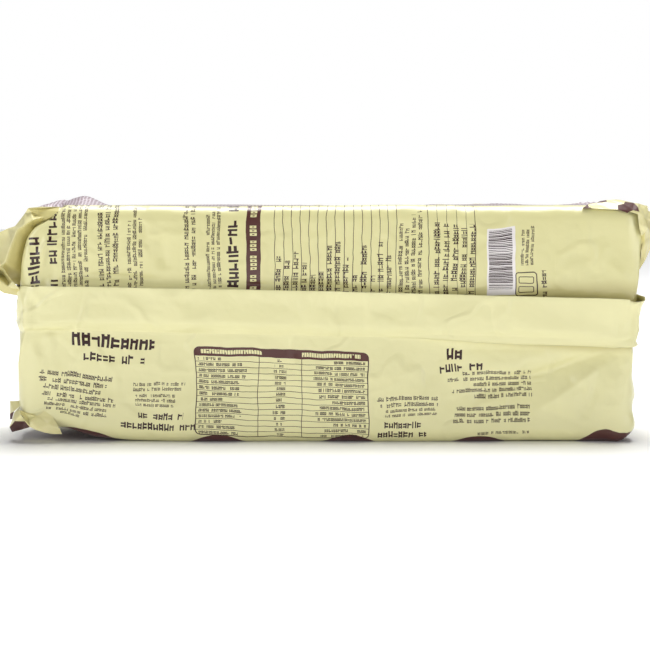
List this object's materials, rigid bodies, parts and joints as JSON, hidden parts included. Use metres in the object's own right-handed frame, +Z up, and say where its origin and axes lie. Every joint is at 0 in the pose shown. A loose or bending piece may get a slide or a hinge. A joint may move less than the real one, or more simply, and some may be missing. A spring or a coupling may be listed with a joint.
{
  "type": "flow-wrapped block of sesame halva",
  "caption": "Long block of halva shut in cream flow-wrap film, standing on its narrow side, with a folded-up fin seal along the front and crumpled end seals.",
  "frame": {"origin": "on the floor under the middle of the pack", "axes": "+X along the block, towards the end whose upper ear is folded back; -Y is the broad side with the fin seal; +Z up"},
  "size_m": [0.3354, 0.0872, 0.12],
  "materials": {
    "film": "satin printed packing film, cream with chocolate brown print"
  },
  "bodies": {
    "root": {"wrapped_block": "film"}
  },
  "joints": []
}
